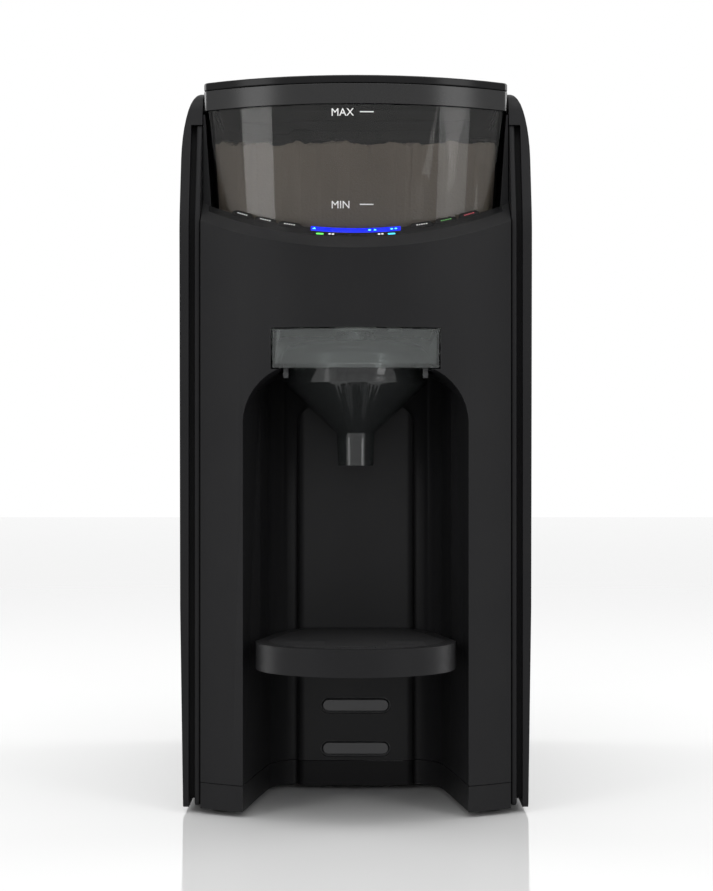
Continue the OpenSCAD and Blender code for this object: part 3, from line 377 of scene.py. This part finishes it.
def bevelEdges(bm, edges, width, segments):
    bmesh.ops.bevel(bm, geom=edges, offset=width, offset_type="OFFSET", segments=segments, profile=0.5,
        affect="EDGES", clamp_overlap=True, material=-1)

def sharpEdges(bm, degrees, test=None):
    limit = math.radians(degrees)
    return [edge for edge in bm.edges if len(edge.link_faces) == 2 and edge.calc_face_angle(0) > limit
        and (test is None or all(test(vert.co) for vert in edge.verts))]

def softened(node, finish, width=0.0005, segments=2, smoothAngle=35):
    piece = finishPiece(node + "_skin", mergedCopy(node), bodyOf[node], finish, smoothAngle)
    if width:
        bevel = piece.modifiers.new("edgeRound", "BEVEL")
        bevel.width = width
        bevel.segments = segments
        bevel.limit_method = "ANGLE"
        bevel.angle_limit = math.radians(38)
        bevel.harden_normals = True
        bevel.use_clamp_overlap = True
    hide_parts(node)
    return piece

def onStrip(x, inward, lift):
    # a point on the sloped strip: "inward" behind the front edge in plan, "lift" above the strip
    radius = form["frontRadius"] - inward
    y = arcY - math.sqrt(radius * radius - x * x)
    z = form["creaseHeight"] + (y - frontY) * math.tan(tilt)
    return Vector((x, y, z)) + stripNormal * lift

def stripTurn(x, inward):
    # axes of a small mark on the strip: along the curve, up the slope, out of it
    step = 0.0005
    along = (onStrip(x + step, inward, 0) - onStrip(x - step, inward, 0)).normalized()
    up = stripNormal.cross(along)
    return Matrix((along, up, stripNormal)).transposed().to_4x4()

# shells
lip = {"width": 0.0062, "segments": 7, "base": 0.0008, "above": 0.024, "half": 0.0625, "start": 0.001}

def onFrontCurve(point):
    return abs(math.hypot(point.x, point.y - arcY) - form["frontRadius"]) < 2e-5

def makeFrontShell():
    bm = mergedCopy("front_shell")
    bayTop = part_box("stand_column")[1].z + lip["above"]
    def onLip(point):
        inReach = abs(point.x) < lip["half"] and shellLow.z + lip["start"] < point.z < bayTop
        return inReach and onFrontCurve(point)
    bevelEdges(bm, sharpEdges(bm, 30, onLip), lip["width"], lip["segments"])
    piece = finishPiece("frontShellSkin", bm, "housing", "charcoalShell")
    bevel = piece.modifiers.new("edgeRound", "BEVEL")
    bevel.width = lip["base"]
    bevel.segments = 2
    bevel.limit_method = "ANGLE"
    bevel.angle_limit = math.radians(40)
    bevel.harden_normals = True
    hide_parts("front_shell")
    return piece

makeFrontShell()

shells = {
    "base_pan": ("charcoalShell", 0.0008, 2), "rear_shell": ("charcoalShell", 0.0006, 2),
    "tank_wall": ("charcoalShell", 0.0006, 2), "top_bridge": ("charcoalShell", 0.0006, 2),
    # the column takes the lighter shell copy: painted light
    "stand_column": ("litShellCopy", 0.0007, 3),
    # the slot plates' lighter grey is painted light: the lit inner faces of the slots in the column
    "slot_plates": ("greyPlasticAndLitSlots", 0.0006, 2), "side_panels": ("charcoalShell", 0.0016, 4),
    "side_channels": ("blackTrim", 0.0006, 2), "side_strips": ("charcoalShell", 0.0009, 3),
    "tub_cheeks": ("charcoalShell", 0.0001, 1), "feet": ("darkRubber", 0.0006, 2),
    "inner_deck": ("whitePlastic", 0.0004, 2),
    "tub_seat": ("blackTrim", 0.0004, 2), "control_fascia": ("glossBlack", 0.0002, 2),
    "display": ("screenBlue", 0.0001, 1), "indicator_lights": ("lampGreen", 0.0002, 2),
    "main_board": ("boardGreen", 0.0002, 1), "power_board": ("boardGreen", 0.0003, 1),
    "gear_motor": ("steel", 0.0005, 2), "powder_chute": ("whitePlastic", 0.0003, 2),
    "water_nozzle": ("whitePlastic", 0.0003, 2), "drawer_rails": ("whitePlastic", 0.0003, 2),
    "tank_dock": ("blackTrim", 0.0004, 2), "dock_seal": ("silicone", 0.0004, 2),
    "water_pump": ("whitePlastic", 0.0008, 2), "heater": ("steel", 0.0008, 2),
    "hoses": ("silicone", 0.0003, 2), "cord_gland": ("darkRubber", 0.0005, 2),
    "case_screws": ("steel", 0.0001, 1), "scraper_plate": ("whitePlastic", 0.0002, 1),
    "tub_collar": ("collarGrey", 0.0006, 3), "tub_lid": ("glossBlack", 0.0009, 3),
    "lid_seal": ("silicone", 0.0003, 2), "measuring_wheel": ("whitePlastic", 0.0004, 2),
    "stirring_wheel": ("redPlastic", 0.0005, 2), "hub_cap": ("greyPlasticAndLitSlots", 0.0004, 2),
    "drive_gear": ("whitePlastic", 0.0001, 1), "motor_pinion": ("brassGear", 0.0001, 1),
    "drawer_clips": ("greyPlasticAndLitSlots", 0.0003, 2), "bottle_stand": ("charcoalShell", 0.0012, 3),
    # the stand grille takes the lighter shell copy: painted light on its grooves
    "stand_grille": ("litShellCopy", 0.0005, 2), "tank_lid": ("glossBlack", 0.0007, 3),
    "tank_hinge_pin": ("greyPlasticAndLitSlots", 0.0003, 2), "tank_valve": ("greyPlasticAndLitSlots", 0.0003, 2),
    "valve_spring": ("steel", 0.0002, 2), "tank_float": ("orangePlastic", 0.0010, 3),
    "float_cage": ("whitePlastic", 0.0003, 2), "powder_tub": ("clearTub", 0.0003, 2),
    "funnel_hood": ("smokedFunnel", 0.0003, 2), "funnel_drawer": ("smokedCover", 0.0004, 2),
    "mixing_funnel": ("smokedFunnel", 0.0003, 2),
    "water_tank": ("clearTank", 0.0004, 2),
}
for index in range(1, 7):
    shells[f"button_{index}"] = ("glossBlack", 0.0002, 2)
for node, (finish, width, segments) in shells.items():
    piece = softened(node, finish, width, segments)
    if node == "indicator_lights":
        piece.data.materials.append(materials["lampCyan"])
        for face in piece.data.polygons:
            face.material_index = 1 if face.center.x > 0 else 0
print("shells and fittings ready")

# the powder in the tub
heap = {"low": 0.0145, "level": 0.3675, "rough": 0.0042, "columns": 220, "rows": 90, "gap": 0.0003,
    "corner": 0.022, "cut": 0.004, "rise": 0.0035, "sink": 0.002}

def makePowder():
    low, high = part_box("powder_tub")
    inset = form["wall"] + heap["gap"]
    half = high.x - inset
    front, back = low.y + inset, high.y - inset
    centreY = (low.y + high.y) / 2
    bm = bmesh.new()
    bmesh.ops.create_grid(bm, x_segments=heap["columns"], y_segments=heap["rows"], size=0.5)
    for vert in bm.verts:
        u, v = vert.co.x * 2, vert.co.y + 0.5
        x = u * half
        sag = form["frontRadius"] - math.sqrt(form["frontRadius"] ** 2 - x * x)
        edge = max(0.0, (abs(x) - (half - heap["corner"])) / heap["corner"])
        corner = heap["corner"] * (1 - math.sqrt(max(0.0, 1 - edge * edge)))
        cut = heap["cut"] * edge ** 4
        vert.co.y = (front + sag + cut) * (1 - v) + (back - corner) * v
        vert.co.x = x
    border = [edge for edge in bm.edges if edge.is_boundary]
    rim = bmesh.ops.extrude_edge_only(bm, edges=border)["geom"]
    skirt = [item for item in rim if isinstance(item, bmesh.types.BMVert)]
    skirtSet = set(skirt)
    bottom = low.z + heap["low"]
    def taperAt(z):
        share = (z - low.z) / (high.z - low.z)
        return form["taper"] + (1 - form["taper"]) * share
    def place(vert, z):
        scale = taperAt(z)
        vert.co = Vector((vert.co.x * scale, centreY + (vert.co.y - centreY) * scale, z))
    for vert in bm.verts:
        if vert in skirtSet:
            place(vert, bottom)
            continue
        spot = vert.co.copy()
        slow = noise.noise(spot * 26) * 0.45 + noise.noise(spot * 70 + Vector((3, 1, 0))) * 0.6
        fine = noise.noise(spot * 200) * 0.5 + noise.noise(spot * 480) * 0.3
        side = heap["rise"] * (abs(spot.x) / half) ** 2
        place(vert, heap["level"] + heap["rough"] * (slow + fine) + side - heap["sink"])
    bmesh.ops.edgeloop_fill(bm, edges=[edge for edge in bm.edges if edge.is_boundary])
    piece = finishPiece("powderHeap", bm, "tub", "powder", 80)
    return piece

makePowder()
print("powder ready")

# marks on the strip and the tub
def stadiumRing(bm, length, width, line, height):
    # a flat ring with round ends: an outer outline inset by the line's width, then raised
    made = bmesh.ops.create_circle(bm, segments=40, radius=width / 2, cap_ends=True)
    for vert in made["verts"]:
        vert.co.x += math.copysign((length - width) / 2, vert.co.x if abs(vert.co.x) > 1e-9 else 1)
    faces = [face for face in bm.faces if all(vert in made["verts"] for vert in face.verts)]
    bmesh.ops.inset_region(bm, faces=faces, thickness=line)
    bmesh.ops.delete(bm, geom=faces, context="FACES")
    raised = bmesh.ops.extrude_face_region(bm, geom=bm.faces[:])["geom"]
    top = [item for item in raised if isinstance(item, bmesh.types.BMVert)]
    bmesh.ops.translate(bm, verts=top, vec=(0, 0, height))

def flatBar(bm, centre, length, width, height):
    stretch = Matrix.Diagonal((length, width, height, 1))
    made = bmesh.ops.create_cube(bm, size=1.0, matrix=Matrix.Translation(centre) @ stretch)
    edges = list({edge for vert in made["verts"] for edge in vert.link_edges})
    bevelEdges(bm, edges, min(length, width) * 0.3, 2)

buttonLooks = {"length": 0.0126, "width": 0.0054, "proud": 0.0002, "line": 0.0008, "raise": 0.00008,
    "inward": 0.0062, "edge": 0.0009, "lift": 0.00001, "marks": 5, "pitch": 0.00135, "bar": (0.0009, 0.0008),
    "finishes": ["markWhite", "markWhite", "markWhite", "markWhite", "markGreen", "markRed"]}

def makeButtonMarks():
    looks = buttonLooks
    inward = form["border"] + looks["inward"]
    for index in range(1, 7):
        low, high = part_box(f"button_{index}")
        x = (low.x + high.x) / 2
        bm = bmesh.new()
        stadiumRing(bm, looks["length"] - looks["edge"], looks["width"] - looks["edge"], looks["line"],
            looks["raise"])
        long, wide = looks["bar"]
        for step in range(looks["marks"]):
            spot = ((step - 2) * looks["pitch"], 0, looks["raise"] / 2)
            flatBar(bm, spot, long - 0.0002 * (step % 2), wide, looks["raise"])
        spot = onStrip(x, inward, looks["proud"] + looks["lift"])
        bm.transform(Matrix.Translation(spot) @ stripTurn(x, inward))
        finish = looks["finishes"][index - 1]
        finishPiece(f"buttonMarks{index}", bm, f"button_{index}", finish)

# small shapes on the display and beside the lamps: place along the strip, sides, radius
stripLooks = {"inward": 0.0055, "lampInward": 0.0016, "lift": 0.00005, "thick": 0.0001,
    "icons": [(-0.0225, 3, 0.0011), (0.0075, 4, 0.0009), (0.0105, 3, 0.0009), (0.0195, 4, 0.0008),
        (0.0218, 4, 0.0008)],
    "symbols": [(-0.0132 - 0.0009, 6, 0.0008), (-0.0132 + 0.0009, 6, 0.0008),
        (0.0135 - 0.0009, 6, 0.0008), (0.0135 + 0.0009, 6, 0.0008)]}

def makeStripShapes(name, shapes, inward, finish):
    bm = bmesh.new()
    for x, sides, radius in shapes:
        made = bmesh.ops.create_cone(bm, cap_ends=True, segments=sides, radius1=radius, radius2=radius,
            depth=stripLooks["thick"])
        place = Matrix.Translation(onStrip(x, inward, stripLooks["lift"])) @ stripTurn(x, inward)
        bmesh.ops.transform(bm, verts=made["verts"], matrix=place)
    finishPiece(name, bm, "housing", finish)

makeButtonMarks()
makeStripShapes("displayIcons", stripLooks["icons"], form["border"] + stripLooks["inward"], "iconCyan")
makeStripShapes("stripSymbols", stripLooks["symbols"], form["border"] + stripLooks["lampInward"], "markWhite")

# generic level marks on the tub's front
tubMarks = {"text": {"MAX": 0.3825, "MIN": 0.3325}, "size": 0.0058, "dash": 0.0075, "dashX": 0.0195,
    "dashUp": 0.0021, "line": 0.0006, "thick": 0.00012, "left": 0.0135, "off": 0.00022}

def tubFrontAt(x, z):
    low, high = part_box("powder_tub")
    centreY = (low.y + high.y) / 2
    scale = form["taper"] + (1 - form["taper"]) * (z - low.z) / (high.z - low.z)
    radius = form["frontRadius"] * scale
    deep = (high.y - low.y) / 2 * scale
    return centreY - deep + radius - math.sqrt(radius * radius - x * x)

def makeTubMarks():
    for word, height in tubMarks["text"].items():
        curve = bpy.data.curves.new("levelWord" + word, "FONT")
        curve.body = word
        curve.size = tubMarks["size"]
        curve.extrude = tubMarks["thick"]
        holder = bpy.data.objects.new("levelWord" + word, curve)
        mesh = bpy.data.meshes.new_from_object(holder)
        bpy.data.objects.remove(holder)
        bm = bmesh.new()
        bm.from_mesh(mesh)
        dashAt = (tubMarks["dashX"], tubMarks["dashUp"], 0)
        flatBar(bm, dashAt, tubMarks["dash"], tubMarks["line"], tubMarks["thick"] * 2)
        bmesh.ops.remove_doubles(bm, verts=bm.verts, dist=1e-6)
        for vert in bm.verts:
            x = vert.co.x - tubMarks["left"]
            z = height + vert.co.y - tubMarks["size"] / 3
            vert.co = Vector((x, tubFrontAt(x, z) - tubMarks["off"] - vert.co.z, z))
        finishPiece("levelMark" + word, bm, "tub", "markWhite", 30)

makeTubMarks()
print("marks ready")

# floor
ground = {"half": 4.0, "color": (0.64, 0.64, 0.64, 1), "rough": 0.06, "shine": 0.8}

def makeFloor():
    bm = bmesh.new()
    bmesh.ops.create_grid(bm, x_segments=1, y_segments=1, size=ground["half"])
    mesh = bpy.data.meshes.new("paleFloor")
    bm.to_mesh(mesh)
    bm.free()
    floor = bpy.data.objects.new("paleFloor", mesh)
    bpy.context.scene.collection.objects.link(floor)
    material, _, shader, _ = freshMaterial("paleFloor")
    shader.inputs["Base Color"].default_value = ground["color"]
    shader.inputs["Roughness"].default_value = ground["rough"]
    shader.inputs["Specular IOR Level"].default_value = ground["shine"]
    mesh.materials.append(material)

makeFloor()
makeCamera()
makeLamps()
